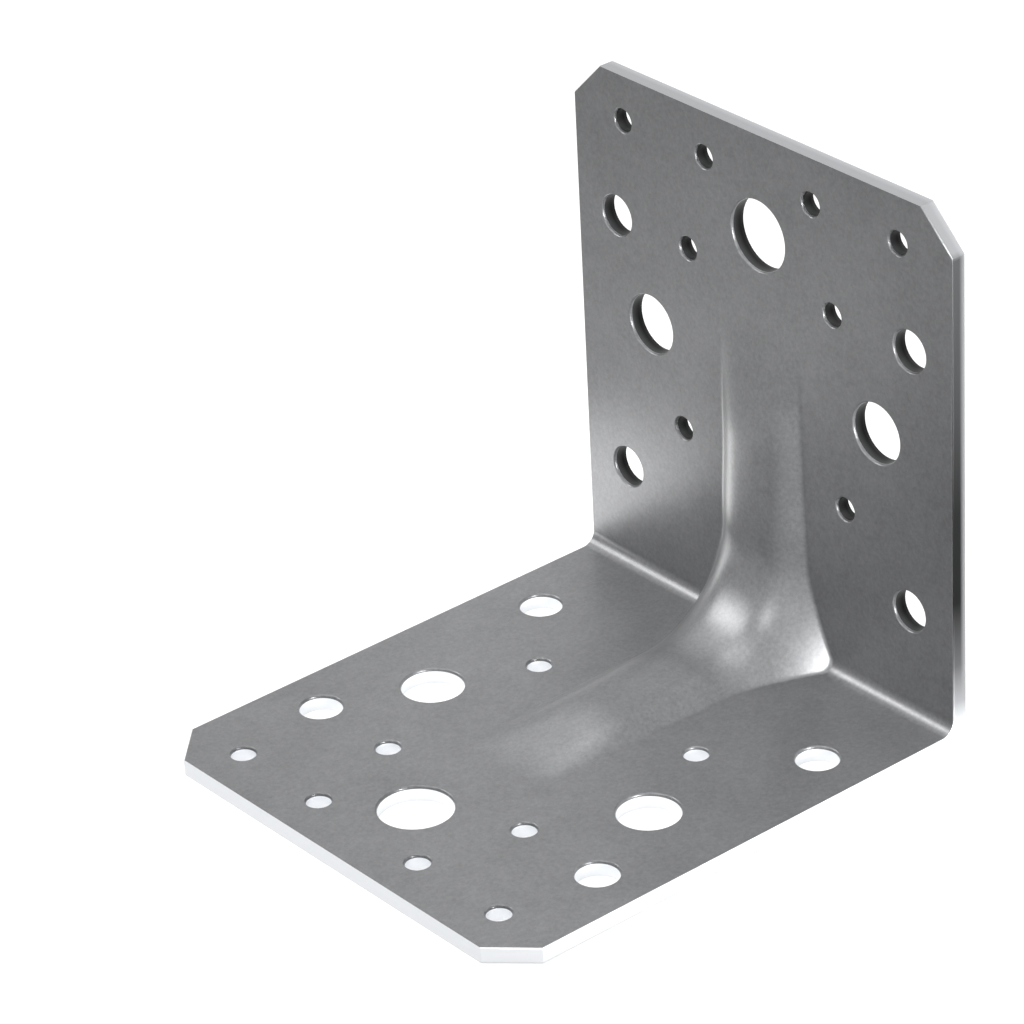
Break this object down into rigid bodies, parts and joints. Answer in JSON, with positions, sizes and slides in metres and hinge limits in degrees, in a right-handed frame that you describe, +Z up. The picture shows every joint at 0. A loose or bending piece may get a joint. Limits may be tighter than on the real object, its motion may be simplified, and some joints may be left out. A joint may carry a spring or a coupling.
{
  "type": "angle bracket",
  "caption": "Reinforced angle bracket of folded zinc-coated steel sheet, with a pressed stiffening rib across the bend, cut corners and rows of punched fixing holes.",
  "frame": {"origin": "where the legs' two outer faces would meet, on the centreline of the width", "axes": "+X along the flat leg from the bend, +Y across the width, +Z up the upright leg"},
  "size_m": [0.101, 0.092, 0.099],
  "materials": {
    "zinc_steel": "satin"
  },
  "bodies": {
    "root": {"angle_bracket": "zinc_steel"}
  },
  "joints": []
}
